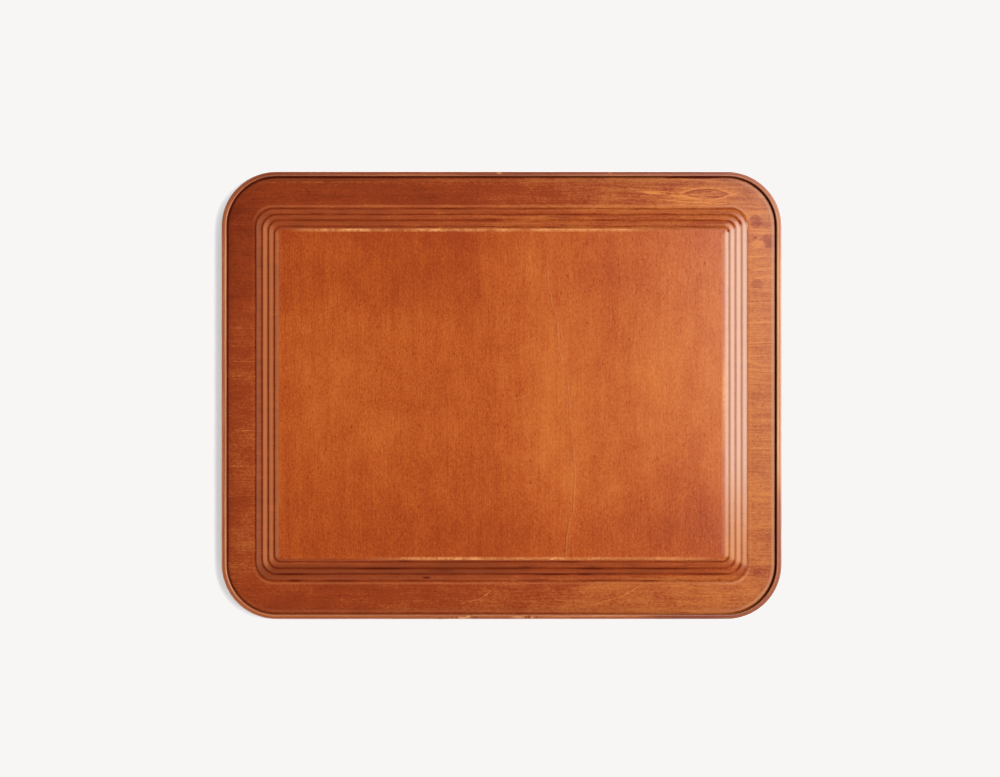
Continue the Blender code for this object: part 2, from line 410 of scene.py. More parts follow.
def flange_veneer(name, node, material):
    """The ply that shows round the field: eased along the rim and scored along the moulding's foot."""
    form = bmesh.new()
    marks = Marks(form)
    low = FLANGE_LOW[2] - FLANGE_TOP
    board_inset = HALF_LENGTH - BOARD_HALF_LENGTH
    wall = RIM_THICKNESS - board_inset          # the rest of the board's edge is hidden in the rim
    loops = []
    # Rings along the rim: inset from the board's edge, height, how dark (stain in the crease with the rim's
    # painted shadow) and how pale (wear, with a painted highlight at the right end)
    edge = (
        (0.0, low, 1.0, 0.0), (0.0, -0.0001, 1.0, 0.0), (wall, -0.00012, 1.0, 0.0),
        (wall + 0.0004, -0.00008, 1.0, 0.0), (wall + 0.0010, -0.00004, 0.90, 0.0),
        (wall + 0.0016, 0.0, 0.15, 0.4), (wall + 0.0021, 0.0, 0.0, 1.0), (wall + 0.0030, 0.0, 0.0, 0.7),
        (wall + 0.0045, 0.0, 0.0, 0.0),
    )
    for inset, height, dark, rub in edge:
        loop = []
        radius = CORNER_RADIUS - board_inset - inset
        half_x = BOARD_HALF_LENGTH - inset
        half_y = BOARD_HALF_WIDTH - inset
        if inset > 0.0:
            half_y += LONG_SIDE_THINNING * RIM_THICKNESS
        for x, y in ring_points(half_x, half_y, radius):
            vertex = form.verts.new((x, y, FLANGE_TOP + height))
            flank = max(0.0, min(1.0, (abs(x) - half_x + radius) / radius))
            # The dark line is stain with the rim's painted shadow, darkest at the right end and faintest
            # along the front
            long_rub, long_stain_and_shadow = (0.35, 0.65) if y > 0 else (0.55, 0.15)
            end_rub, end_stain_and_shadow = (1.0, 1.0) if x > 0 else (0.0, 0.65)
            marks.set(vertex, rub=rub * (long_rub + (end_rub - long_rub) * flank),
                      edge=dark * (long_stain_and_shadow + (end_stain_and_shadow - long_stain_and_shadow) * flank))
            loop.append(vertex)
        loops.append(loop)
    # Rings along the moulding's foot: outset from it, height, how deep in the scored line and how pale
    # (wear, with a painted highlight)
    foot = (
        (0.0034, 0.0, 0.0, 0.0), (0.0021, 0.0, 0.0, 0.75), (0.0013, -0.00002, 0.1, 0.35),
        (0.0008, -0.00006, 0.5, 0.0), (0.0003, -0.00024, 1.0, 0.0), (-0.0001, -0.00002, 0.7, 0.0),
        (-0.0010, -0.00002, 0.0, 0.0),
    )
    for outset, height, groove, rub in foot:
        loop = moulding_loop(form, marks, -outset, height, ARRIS_SWAY, groove, 0.0, 0.0)
        for vertex in loop:
            flank = vertex[marks.layers["flank"]]
            # The scored line is shallower, and its stain and painted shade fainter, mostly at the right
            # end, which faces the lamp
            softer = 1.0 - 0.85 * flank if vertex.co.x > 0 else 1.0 - 0.15 * flank
            softer *= 1.0 - (1.0 - flank) * (0.30 + 0.5 * rolling(4, vertex.co.x * 32.0))
            vertex.co.z = FLANGE_TOP + height * softer
            marks.set(vertex, rub=rub * (1.0 - 0.8 * flank), groove=groove * softer)
        loops.append(loop)
    for before, after in zip(loops, loops[1:]):
        join_loops(form, before, after)
    form.faces.new(reversed(loops[0]))
    form.faces.new(loops[-1])
    finish_piece(name, node, form, material)


# ---------------------------------------------------------------- the rim

def rim_path(s):
    """Place and outward direction on the tray's outline, s along it from x = 0 on the -Y side."""
    straight_x = 2 * (HALF_LENGTH - CORNER_RADIUS)
    straight_y = 2 * (HALF_WIDTH - CORNER_RADIUS)
    arc = math.pi / 2 * CORNER_RADIUS
    total = 2 * (straight_x + straight_y) + 4 * arc
    s = (s + straight_x / 2) % total
    place = Vector((-straight_x / 2, -HALF_WIDTH))
    heading = 0.0
    for straight in (straight_x, straight_y, straight_x, straight_y):
        forward = Vector((math.cos(heading), math.sin(heading)))
        outward = Vector((math.sin(heading), -math.cos(heading)))
        if s <= straight:
            return place + forward * s, outward
        s -= straight
        place = place + forward * straight
        if s <= arc:
            turn = s / CORNER_RADIUS
            centre = place - outward * CORNER_RADIUS
            direction = Vector((math.sin(heading + turn), -math.cos(heading + turn)))
            return centre + direction * CORNER_RADIUS, direction
        s -= arc
        centre = place - outward * CORNER_RADIUS
        heading += math.pi / 2
        place = centre + Vector((math.sin(heading), -math.cos(heading))) * CORNER_RADIUS
    raise ValueError("s is past the end of the outline")


def perimeter():
    straights = 4 * (HALF_LENGTH - CORNER_RADIUS) + 4 * (HALF_WIDTH - CORNER_RADIUS)
    return straights + 2 * math.pi * CORNER_RADIUS


def strip_section(near, far, bottom, top, rounding):
    """Corner-rounded cross-section as (distance in from the outline, height), outer foot first."""
    outer_top, inner_top, foot = rounding
    limit = 0.45 * (far - near)
    corners = (
        (near, bottom, min(foot, limit), 180.0, 270.0, 3),
        (far, bottom, min(foot, limit), 270.0, 360.0, 3),
        (far, top, min(inner_top, limit), 0.0, 90.0, 6),
        (near, top, min(outer_top, limit), 90.0, 180.0, 6),
    )
    points = []
    for n, z, radius, start, end, steps in corners:
        centre_n = n + radius if n == near else n - radius
        centre_z = z + radius if z == bottom else z - radius
        for step in range(steps + 1):
            angle = math.radians(start + (end - start) * step / steps)
            points.append((centre_n + radius * math.cos(angle), centre_z + radius * math.sin(angle)))
    return points


def path_stations(start, end, fine_spans):
    """Where a strip's sections stand: close together in the scarf joint, wider apart elsewhere."""
    stations = [start]
    while stations[-1] < end:
        here = stations[-1]
        fine = any(low <= here <= high for low, high in fine_spans)
        stations.append(min(end, here + (SCARF_STEP if fine else PATH_STEP)))
    return stations


def bent_strip(name, node, near, far, bottom, top, rounding, material, seed):
    """A strip bent round the tray, its two tapered ends lying against each other in the scarf joint."""
    slope = SCARF_LENGTH / RIM_THICKNESS
    first_tip = SCARF_START + slope * near
    last_tip = SCARF_START + slope * far
    end = perimeter() + last_tip
    scarf = (first_tip, last_tip)
    far_scarf = (perimeter() + first_tip, end)
    form = bmesh.new()
    grain_layer = form.verts.layers.float_vector.new("grain")
    sections = []
    for s in path_stations(first_tip, end, (scarf, far_scarf)):
        near_here = near
        far_here = far
        if s < last_tip:
            far_here = near + max((s - first_tip) / slope, 0.00004) - SEAM / 4
        if s > far_scarf[0]:
            near_here = near + (s - far_scarf[0]) / slope
            near_here = min(near_here + SEAM / 4, far - 0.00003)
        far_here = max(far_here, near_here + 0.00003)
        place, outward = rim_path(s)
        sway = 0.00005 * rolling(seed, s * 45.0)
        section = []
        for n, z in strip_section(near_here, far_here, bottom, top, rounding):
            lift = (z - bottom) / (top - bottom)
            uneven = 0.00006 * lift * (rolling(seed + 3, s * 30.0, n * 400.0) - 1.0)
            inward = max(n + sway * lift, near)
            point = place - outward * inward * (1.0 - LONG_SIDE_THINNING * outward.y ** 2)
            vertex = form.verts.new((point.x, point.y, z + uneven))
            vertex[grain_layer] = (s, inward, z)
            section.append(vertex)
        sections.append(section)
    for before, after in zip(sections, sections[1:]):
        join_loops(form, before, after)
    form.faces.new(sections[0])
    form.faces.new(reversed(sections[-1]))
    finish_piece(name, node, form, material)


# ================================================================ materials

class Nodes:
    """A short way to write a material's nodes."""

    def __init__(self, name):
        self.material = bpy.data.materials.new(name)
        self.material.use_nodes = True
        self.tree = self.material.node_tree
        self.shader = self.tree.nodes["Principled BSDF"]

    def add(self, kind, **settings):
        node = self.tree.nodes.new(kind)
        for key, value in settings.items():
            setattr(node, key, value)
        return node

    def feed(self, socket, value):
        if isinstance(value, bpy.types.NodeSocket):
            self.tree.links.new(value, socket)
        elif isinstance(value, tuple) and len(value) == 3 and socket.type == "RGBA":
            socket.default_value = (*value, 1.0)
        else:
            socket.default_value = value

    def place(self):
        return self.add("ShaderNodeTexCoord").outputs["Object"]

    def attribute(self, name, output="Fac"):
        return self.add("ShaderNodeAttribute", attribute_name=name).outputs[output]

    def split(self, vector):
        node = self.add("ShaderNodeSeparateXYZ")
        self.feed(node.inputs[0], vector)
        return node.outputs

    def combine(self, x, y, z):
        node = self.add("ShaderNodeCombineXYZ")
        for socket, value in zip(node.inputs, (x, y, z)):
            self.feed(socket, value)
        return node.outputs[0]

    def math(self, operation, a, b=0.0, c=0.0):
        node = self.add("ShaderNodeMath", operation=operation)
        for socket, value in zip(node.inputs, (a, b, c)):
            self.feed(socket, value)
        return node.outputs[0]

    def times(self, a, b):
        return self.math("MULTIPLY", a, b)

    def plus(self, a, b):
        return self.math("ADD", a, b)

    def times_plus(self, a, b, c):
        """a times b, plus c."""
        return self.math("MULTIPLY_ADD", a, b, c)

    def larger(self, a, b):
        return self.math("MAXIMUM", a, b)

    def scaled(self, vector, lengths, shift):
        """The vector counted in lengths, so that noise on it has features of that size."""
        node = self.add("ShaderNodeVectorMath", operation="MULTIPLY_ADD")
        self.feed(node.inputs[0], vector)
        node.inputs[1].default_value = tuple(1.0 / length for length in lengths)
        node.inputs[2].default_value = shift
        return node.outputs[0]

    def noise_node(self, vector, lengths, detail, roughness, seed):
        node = self.add("ShaderNodeTexNoise")
        self.feed(node.inputs["Vector"], self.scaled(vector, lengths, (seed, 2.0 * seed, -seed)))
        node.inputs["Scale"].default_value = 1.0
        node.inputs["Detail"].default_value = detail
        node.inputs["Roughness"].default_value = roughness
        return node

    def noise(self, vector, lengths, detail=2.0, roughness=0.5, seed=0.0):
        return self.noise_node(vector, lengths, detail, roughness, seed).outputs["Fac"]

    def warped(self, place, lengths, amounts, seed):
        """The place, shifted a little by smooth noise: for edges and lines that wander."""
        shift = self.noise_node(place, lengths, 2.0, 0.5, seed).outputs["Color"]
        centred = self.add("ShaderNodeVectorMath", operation="SUBTRACT")
        self.feed(centred.inputs[0], shift)
        centred.inputs[1].default_value = (0.5, 0.5, 0.5)
        moved = self.add("ShaderNodeVectorMath", operation="MULTIPLY_ADD")
        self.feed(moved.inputs[0], centred.outputs[0])
        moved.inputs[1].default_value = tuple(2.0 * amount for amount in amounts)
        self.feed(moved.inputs[2], place)
        return moved.outputs[0]

    def span(self, value, low, high, out_low=0.0, out_high=1.0, smooth=True):
        node = self.add("ShaderNodeMapRange", interpolation_type="SMOOTHSTEP" if smooth else "LINEAR")
        for socket, number in zip(node.inputs, (value, low, high, out_low, out_high)):
            self.feed(socket, number)
        return node.outputs[0]

    def mix(self, factor, a, b):
        node = self.add("ShaderNodeMix", data_type="RGBA")
        node.clamp_factor = True
        self.feed(node.inputs[0], factor)
        self.feed(node.inputs[6], a)
        self.feed(node.inputs[7], b)
        return node.outputs[2]

    def oval(self, place, x, y, half_x, half_y, turn=0.0):
        """The place seen from an oval's middle, in half sizes: its length is 1 on the oval's edge."""
        local = self.add("ShaderNodeMapping", vector_type="TEXTURE")
        self.feed(local.inputs["Vector"], place)
        local.inputs["Location"].default_value = (x, y, 0.0)
        local.inputs["Rotation"].default_value = (0.0, 0.0, math.radians(turn))
        local.inputs["Scale"].default_value = (half_x, half_y, 1000.0)
        return local.outputs[0]

    def patches(self, tone, place, ovals, edge=0.6):
        """Lighten (above 0) or darken (below 0) a tone in ovals: (x, y, half_x, half_y, by, any turn)."""
        for x, y, half_x, half_y, by, *turn in ovals:
            length = self.add("ShaderNodeVectorMath", operation="LENGTH")
            self.feed(length.inputs[0], self.oval(place, x, y, half_x, half_y, *turn))
            inside = self.span(length.outputs["Value"], 1.0 - edge, 1.0 + edge, 1.0, 0.0)
            tone = self.times_plus(inside, by, tone)
        return tone

    def vary(self, tone, value, by):
        """Add noise about 0.5 to a tone."""
        return self.plus(tone, self.times_plus(value, by, -0.5 * by))


def grain_tone(n, along, seed, speckle_by=0.9, fibre_by=0.45, streak_by=0.35, mottle_by=0.55):
    """How light the grain leaves the stain, about 0.5. The fibres follow the first axis of along."""
    speckle = n.noise(along, (0.0024, 0.0011, 0.0011), detail=2.0, roughness=0.6, seed=seed)
    fibres = n.noise(along, (0.025, 0.0008, 0.0008), detail=2.0, roughness=0.5, seed=seed + 3.1)
    streaks = n.noise(along, (0.110, 0.0050, 0.0050), detail=3.0, roughness=0.55, seed=seed + 5.3)
    mottle = n.noise(along, (0.026, 0.017, 0.017), detail=3.0, roughness=0.5, seed=seed + 7.7)
    pores = n.noise(along, (0.0026, 0.0009, 0.0009), detail=0.0, seed=seed + 9.9)
    grit = n.noise(along, (0.0014, 0.0009, 0.0009), detail=1.0, seed=seed + 13.3)
    tone = n.vary(0.5, speckle, speckle_by)
    tone = n.vary(tone, grit, 0.8 * speckle_by)
    tone = n.vary(tone, fibres, fibre_by)
    tone = n.vary(tone, streaks, streak_by)
    tone = n.vary(tone, mottle, mottle_by)
    tone = n.times_plus(n.span(pores, 0.72, 0.82), -0.45, tone)
    return tone, fibres, speckle


def shade(n, tone, dark, middle, light):
    """The stain's colour: dark at a tone of 0, middle at 0.5 and light at 1.2."""
    colour = n.mix(n.span(tone, 0.0, 0.5, smooth=False), dark, middle)
    return n.mix(n.span(tone, 0.5, 1.2, smooth=False), colour, light)


def finish_wood(n, colour, fibres, speckle, roughness, gloss, relief):
    n.feed(n.shader.inputs["Base Color"], colour)
    n.feed(n.shader.inputs["Roughness"], n.plus(roughness, n.span(speckle, 0.3, 0.7, -0.02, 0.03)))
    n.feed(n.shader.inputs["Specular IOR Level"], gloss)
    bump = n.add("ShaderNodeBump")
    bump.inputs["Strength"].default_value = relief
    bump.inputs["Distance"].default_value = 0.0001
    height = n.plus(n.times(fibres, 0.5), n.times(speckle, 0.5))
    n.feed(bump.inputs["Height"], height)
    n.feed(n.shader.inputs["Normal"], bump.outputs[0])
    return n.material


LACQUER_ROUGHNESS = 0.21
LACQUER_RELIEF = 0.14       # how strongly the grain stands out of the board's surface
RIM_ROUGHNESS = 0.30
RIM_RELIEF = 0.20
BACK_ROUGHNESS = 0.6
INNER_ROUGHNESS = 0.7
BARE_GLOSS = 0.3            # of the back and the hidden plies
BARE_RELIEF = 0.35

RUBBED_WOOD_AND_SHEEN = (0.345, 0.105, 0.034)
PAINTED_RIM_SIDE_HIGHLIGHT = (0.50, 0.230, 0.110)
RIM_EDGE_STAIN_AND_SHADOW = (0.036, 0.0015, 0.0002)
CREASE_STAIN_AND_SHADE = (0.075, 0.010, 0.003)
DEEP_STAIN = (0.050, 0.004, 0.001)
PAINTED_FLANK_HIGHLIGHT = (0.35, 0.180, 0.110)
PAINTED_FLANK_HIGHLIGHT_TAN = (0.37, 0.150, 0.055)
BARE_LIP = (0.40, 0.15, 0.04)
BARE_ARRIS = (0.53, 0.230, 0.074)
RIM_WALL_STAIN_AND_SHADE = (0.040, 0.0022, 0.0004)
# Each stain's dark, middle and light colour
FLANGE_STAIN = ((0.105, 0.0130, 0.0024), (0.187, 0.0270, 0.0050), (0.385, 0.1200, 0.0240))
CENTRE_STAIN = ((0.190, 0.0232, 0.0020), (0.274, 0.0485, 0.0050), (0.374, 0.1020, 0.0165))
RIM_OUTER_STAIN = ((0.12, 0.022, 0.006), (0.215, 0.052, 0.014), (0.404, 0.161, 0.064))
RIM_INNER_STAIN = ((0.14, 0.026, 0.007), (0.26, 0.072, 0.020), (0.456, 0.209, 0.090))
BACK_STAIN = ((0.18, 0.04, 0.012), (0.27, 0.072, 0.022), (0.396, 0.139, 0.061))
INNER_STAIN = ((0.28, 0.12, 0.05), (0.36, 0.16, 0.07), (0.486, 0.244, 0.126))

# Soft ovals of lighter and darker stain: x, y, half sizes, by how much, and any turn in degrees
CENTRE_PATCHES = (
    (0.048, -0.018, 0.024, 0.075, 0.20),
    (-0.140, 0.013, 0.032, 0.046, 0.10),
    (-0.095, -0.043, 0.011, 0.044, 0.12),
    (-0.048, 0.105, 0.030, 0.028, -0.10),
    (0.080, 0.095, 0.034, 0.022, -0.16),
    (0.132, 0.015, 0.026, 0.046, 0.26),
    (0.150, 0.080, 0.024, 0.040, 0.08),
    (0.172, 0.010, 0.012, 0.075, 0.22),
    (-0.120, -0.100, 0.060, 0.025, -0.05),
    (0.150, -0.098, 0.040, 0.032, -0.22),
    (0.0, 0.131, 0.185, 0.012, -0.16),
    (0.0, -0.122, 0.200, 0.030, -0.26),
    (-0.060, -0.072, 0.110, 0.022, -0.10),
    (-0.170, 0.0, 0.010, 0.130, -0.08),
)
# Small dark flecks, as (x, y)
CENTRE_FLECKS = (
    (0.0935, 0.1048), (0.0531, 0.0959), (0.1024, 0.0450), (0.1630, 0.1064), (0.0232, -0.0527),
    (0.0232, -0.0697), (0.1121, -0.0850), (0.1185, -0.0996), (-0.1206, -0.0252), (0.0011, -0.0004),
    (-0.0099, -0.0088), (0.0119, -0.0002), (-0.0034, -0.0241), (0.0027, -0.0250),
)
FLANGE_DRIFT = (
    (0.225, -0.060, 0.055, 0.130, -0.16),
    (0.215, 0.125, 0.025, 0.035, 0.10),
    (-0.210, 0.120, 0.030, 0.050, -0.09),
    (-0.160, -0.164, 0.060, 0.020, -0.08),
    (0.090, 0.164, 0.050, 0.020, 0.08),
    (0.185, -0.160, 0.060, 0.035, -0.16),
    (0.212, -0.125, 0.025, 0.040, -0.03),
    (0.180, 0.164, 0.045, 0.018, -0.10),
    (-0.010, -0.164, 0.130, 0.030, -0.24),
    (0.000, 0.164, 0.130, 0.030, -0.10),
    (-0.010, 0.174, 0.150, 0.005, 0.14),
    (0.000, 0.152, 0.170, 0.0018, 0.20),
)
FLANGE_PATCHES = (
    (0.155, 0.1755, 0.022, 0.0010, -0.90),
    (-0.137, 0.1745, 0.060, 0.0022, -0.28),
    (0.2067, 0.1219, 0.0055, 0.0032, 0.30),
    (0.2060, 0.0900, 0.0050, 0.0040, -0.22),
)
# Ragged darker marks near the back right corner
FLANGE_BLOTCHES = (
    (0.2045, 0.1400, 0.0045, 0.0050, -0.34),
    (0.2120, 0.1385, 0.0070, 0.0032, -0.24),
    (0.2150, 0.1245, 0.0048, 0.0058, -0.32),
    (0.2043, 0.1271, 0.0020, 0.0012, -0.34),
)
# Thin pale cracks and edges of grain figure
FLANGE_LINES = (
    (-0.137, 0.1716, 0.062, 0.00035, 0.30),
    (0.151, 0.1738, 0.018, 0.00040, 0.65),
    (0.134, 0.1615, 0.0185, 0.00065, 0.75, -6.0),
    (0.150, 0.1560, 0.045, 0.00045, 0.50, -3.0),
    (0.128, 0.1637, 0.0140, 0.00045, 0.60),
    (0.120, 0.1632, 0.0050, 0.00100, 0.45),
    (0.2095, 0.1335, 0.0105, 0.00040, 0.60, -2.0),
    (0.2085, 0.0945, 0.0080, 0.00040, 0.65, 16.0),
    (-0.2095, 0.0273, 0.0095, 0.00035, 0.35),
    (-0.2095, -0.0286, 0.0095, 0.00035, 0.40),
    (-0.2095, -0.0569, 0.0095, 0.00035, 0.35),
    (0.1039, -0.1580, 0.0088, 0.00040, 0.50, 30.0),
    (0.0849, -0.1655, 0.0118, 0.00040, 0.45, 16.0),
    (-0.0115, -0.1566, 0.0029, 0.00040, 0.36, -33.0),
    (-0.0132, -0.1610, 0.0050, 0.00040, 0.40, 35.0),
    (-0.0260, -0.1663, 0.0100, 0.00040, 0.34, 15.0),
)
# The pointed eye in the grain at the tray's back right: x, y, half length, half width
EYE = (0.1647, 0.1623, 0.0180, 0.0036)
# Painted shade: the moulding's front side, whose beads face away from the lamp, is darker than the back
MOULDING_SHADE = ((0.0, -0.1400, 0.215, 0.0060, -0.42),)
# Short runs of stain that pooled in the creases along the front, and a pin knot
POOLED_STAIN = (
    (-0.0965, -0.1394, 0.0214, 0.0008, 0.75),
    (-0.1690, -0.1440, 0.0129, 0.0009, 0.70),
    (-0.1668, -0.1494, 0.0050, 0.0009, 0.70),
    (-0.1306, -0.1494, 0.0155, 0.0006, 0.45),
    (-0.0604, -0.1468, 0.0030, 0.0009, 0.90),
    (-0.0475, -0.1410, 0.0100, 0.0016, 0.35),
    (-0.0784, -0.1334, 0.0060, 0.0007, 0.50),
    (0.0187, -0.1381, 0.0050, 0.0008, 0.50),
    (0.0725, -0.1394, 0.0120, 0.0008, 0.65),
    (0.1260, -0.1395, 0.0230, 0.0007, 0.60),
    (0.0416, -0.1440, 0.0130, 0.0009, 0.70),
    (0.0665, -0.1440, 0.0060, 0.0008, 0.60),
    (0.1657, -0.1440, 0.0160, 0.0007, 0.50),
    (0.0802, -0.1494, 0.0150, 0.0006, 0.50),
    (0.1179, -0.1496, 0.0070, 0.0006, 0.50),
)


def eye_tone(n, place, tone):
    """A pointed eye: dark outline round a darker middle, a pale line and yellower wood about it."""
    x, y, half_x, half_y = EYE
    wobble = n.warped(place, (0.02, 0.004, 0.004), (0.0004, 0.0007, 0.0), seed=41.0)
    u, v, w = n.split(n.oval(wobble, x, y, half_x, half_y))
    distance = n.plus(n.math("ABSOLUTE", v), n.times(u, u))
    inside = n.span(distance, 0.70, 1.05, 1.0, 0.0)
    outline = n.times(n.span(distance, 0.72, 0.98), n.span(distance, 1.0, 1.22, 1.0, 0.0))
    halo = n.times(n.span(distance, 1.08, 1.26), n.span(distance, 1.35, 1.80, 1.0, 0.0))
    glow = n.span(distance, 1.3, 4.5, 1.0, 0.0)
    tone = n.times_plus(inside, -0.16, tone)
    tone = n.times_plus(outline, -0.34, tone)
    tone = n.times_plus(halo, 0.28, tone)
    return n.times_plus(glow, 0.20, tone)


def contour_tone(n, place, tone):
    """Wavy pale and dark lines of flat-cut grain towards the tray's back right corner."""
    x, y, z = n.split(place)
    bent = n.warped(place, (0.030, 0.010, 0.010), (0.0, 0.0022, 0.0), seed=51.0)
    rings = n.noise(bent, (0.110, 0.0065, 0.0065), detail=1.0, seed=52.0)
    phase = n.math("FRACT", n.times(rings, 4.0))
    line = n.times(n.span(phase, 0.70, 0.92), n.span(phase, 0.94, 1.0, 1.0, 0.0))
    where = n.times(n.span(x, 0.03, 0.15), n.span(y, -0.05, 0.13, 0.45, 1.0))
    tone = n.times_plus(n.times(line, where), 0.22, tone)
    band = n.vary(0.0, phase, 0.16)
    return n.plus(tone, n.times(band, where))


def pooled_stain(n, place, colour):
    """The colour, with the dark runs of pooled stain along the moulding's front."""
    ragged = n.warped(place, (0.006, 0.002, 0.002), (0.0006, 0.0002, 0.0), seed=72.0)
    return n.mix(n.patches(0.0, ragged, POOLED_STAIN), colour, DEEP_STAIN)


def flange_wood():
    n = Nodes("flange_wood")
    place = n.place()
    x, y, z = n.split(place)
    tone, fibres, speckle = grain_tone(n, place, 0.0, speckle_by=0.55)
    # Painted light, partly the wood's own tone: lighter towards the right, where the lamp stands; the next
    # line makes it darker along the back
    tone = n.plus(tone, n.span(x, -0.22, 0.22, -0.26, 0.30, smooth=False))
    tone = n.plus(tone, n.span(y, 0.15, 0.03, 0.0, 0.26))
    tone = n.patches(tone, place, FLANGE_DRIFT)
    tone = contour_tone(n, place, tone)
    wander = n.warped(place, (0.012, 0.012, 0.012), (0.0010, 0.0009, 0.0), seed=61.0)
    tone = n.patches(tone, wander, FLANGE_PATCHES, edge=0.3)
    ragged = n.warped(place, (0.0050, 0.0026, 0.0050), (0.0034, 0.0026, 0.0), seed=62.0)
    tone = n.patches(tone, ragged, FLANGE_BLOTCHES, edge=0.35)
    flaws = n.noise(place, (0.0034, 0.0016, 0.0016), detail=1.0, seed=63.0)
    breaks = n.span(flaws, 0.36, 0.62, 0.25, 1.0)
    tone = n.plus(tone, n.times(n.patches(0.0, wander, FLANGE_LINES), breaks))
    tone = eye_tone(n, place, tone)
    colour = shade(n, tone, *FLANGE_STAIN)
    # Wear, and along the right end a painted highlight on the flange beside the rim
    rubbed_stain = n.mix(n.span(x, 0.15, 0.21), RUBBED_WOOD_AND_SHEEN, PAINTED_RIM_SIDE_HIGHLIGHT)
    rub = n.times(n.attribute("rub"), n.span(x, 0.15, 0.21, 0.45, 0.58))
    colour = n.mix(rub, colour, rubbed_stain)
    # Stain and painted shade in the scored line at the moulding's foot, fainter at the moulding's ends
    groove = n.attribute("groove")
    stain = n.times_plus(n.attribute("flank"), -0.50, 0.66)
    colour = n.mix(n.times(groove, stain), colour, CREASE_STAIN_AND_SHADE)
    # Stain in the crease along the rim, with the rim's painted shadow
    edge = n.attribute("edge")
    colour = n.mix(edge, colour, RIM_EDGE_STAIN_AND_SHADOW)
    colour = pooled_stain(n, place, colour)
    gloss = n.span(n.larger(groove, edge), 0.0, 0.6, 0.24, 0.0)
    return finish_wood(n, colour, fibres, speckle, LACQUER_ROUGHNESS, gloss, LACQUER_RELIEF)


def face_stain(n, place, x, y, z):
    """The orange panel's stain: grain across the tray, soft patches, flecks and the check, with painted
    light making its right side lighter.
    """
    face, fibres, speckle = grain_tone(n, n.combine(y, x, z), 24.0, streak_by=0.30)
    drift = n.warped(place, (0.030, 0.030, 0.030), (0.012, 0.012, 0.0), seed=81.0)
    face = n.patches(face, drift, CENTRE_PATCHES, edge=0.75)
    seam = n.times(n.span(x, -0.0180, -0.0160, 1.0, 0.0), n.span(y, 0.055, 0.085))
    face = n.times_plus(seam, -0.16, face)
    # Painted light, partly the wood's own tone: lighter towards the right, where the lamp stands
    face = n.plus(face, n.span(x, -0.02, 0.05, -0.03, 0.12))
    wisp = n.warped(place, (0.004, 0.004, 0.004), (0.0004, 0.0004, 0.0), seed=82.0)
    flecks = [(fleck_x, fleck_y, 0.00055, 0.0012, -0.9) for fleck_x, fleck_y in CENTRE_FLECKS]
    face = n.patches(face, wisp, flecks)
    stained = shade(n, face, *CENTRE_STAIN)
    check = n.attribute("check")
    stained = n.mix(n.times(n.larger(check, 0.0), 0.42), stained, BARE_LIP)
    gap = n.larger(n.times(check, -1.0), 0.0)
    stained = n.mix(n.times(gap, 0.38), stained, CREASE_STAIN_AND_SHADE)
    return stained, fibres, speckle


def field_wood(name, with_face):
    """The moulding's stain, with painted highlight and painted shade, and with_face also the orange panel
    inside the arris.
    """
    n = Nodes(name)
    place = n.place()
    x, y, z = n.split(place)
    groove = n.attribute("groove")
    flank = n.attribute("flank")
    tone, fibres, speckle = grain_tone(n, place, 12.0, speckle_by=0.5, fibre_by=0.7, streak_by=0.9)
    # Painted light, partly the wood's own tone: lighter towards the right, where the lamp stands
    tone = n.plus(tone, n.span(x, -0.20, 0.20, -0.20, 0.20, smooth=False))
    dashes = n.noise(place, (0.020, 0.0014, 0.0014), detail=2.0, seed=71.0)
    dashed = n.times(n.span(dashes, 0.60, 0.72), n.math("SUBTRACT", 1.0, flank))
    tone = n.times_plus(dashed, -0.45, tone)
    tone = n.patches(tone, place, MOULDING_SHADE)
    colour = shade(n, tone, *FLANGE_STAIN)
    # Wear on the bead crests, with a painted sheen at the two ends
    colour = n.mix(n.attribute("worn"), colour, RUBBED_WOOD_AND_SHEEN)
    # Painted highlight: the moulding's right end, which faces the lamp, is paler, and it is glossier too;
    # the painted highlight fades, and turns tan, towards the front
    painted_highlight_end = n.times(n.span(flank, 0.72, 1.0), n.span(x, -0.1, 0.1))
    fading = n.times(n.span(x, -0.1, 0.1), n.span(y, -0.135, -0.045, 1.0, 0.0))
    shining = n.times(painted_highlight_end, n.times_plus(fading, -0.85, 1.0))
    painted_highlight_end = n.times(painted_highlight_end, n.times_plus(fading, -0.30, 1.0))
    glossy = n.times(n.times(flank, 0.24), n.times_plus(fading, -0.90, 1.0))
    colour = n.mix(n.times(painted_highlight_end, 0.68), colour, n.mix(fading, PAINTED_FLANK_HIGHLIGHT, PAINTED_FLANK_HIGHLIGHT_TAN))
    # Stain and painted shade in the creases between the beads, broken up along the long sides and fainter
    # at the lit right end
    broken = n.span(n.noise(place, (0.022, 0.0040, 0.0040), detail=1.0, seed=73.0), 0.38, 0.62, 0.22, 1.0)
    broken = n.mix(flank, broken, (1.0, 1.0, 1.0))
    depth = n.times(n.times_plus(painted_highlight_end, -0.46, 0.50), broken)
    colour = n.mix(n.times(groove, depth), colour, CREASE_STAIN_AND_SHADE)
    colour = pooled_stain(n, place, colour)
    gloss = n.span(groove, 0.0, 0.5, n.plus(glossy, 0.16), 0.0)
    gloss = n.larger(gloss, n.times(shining, 0.46))
    if with_face:
        stained, fibres, speckle = face_stain(n, place, x, y, z)
        colour = n.mix(n.attribute("field"), colour, stained)
        speck = n.noise(place, (0.0022, 0.0016, 0.0016), detail=2.0, seed=83.0)
        rub = n.times(n.attribute("rub"), n.span(speck, 0.30, 0.62, 0.35, 1.0))
        colour = n.mix(rub, colour, BARE_ARRIS)
        gloss = n.span(n.attribute("field"), 0.0, 1.0, gloss, 0.40)
    roughness = n.times_plus(painted_highlight_end, 0.16, LACQUER_ROUGHNESS)
    return finish_wood(n, colour, fibres, speckle, roughness, gloss, LACQUER_RELIEF)


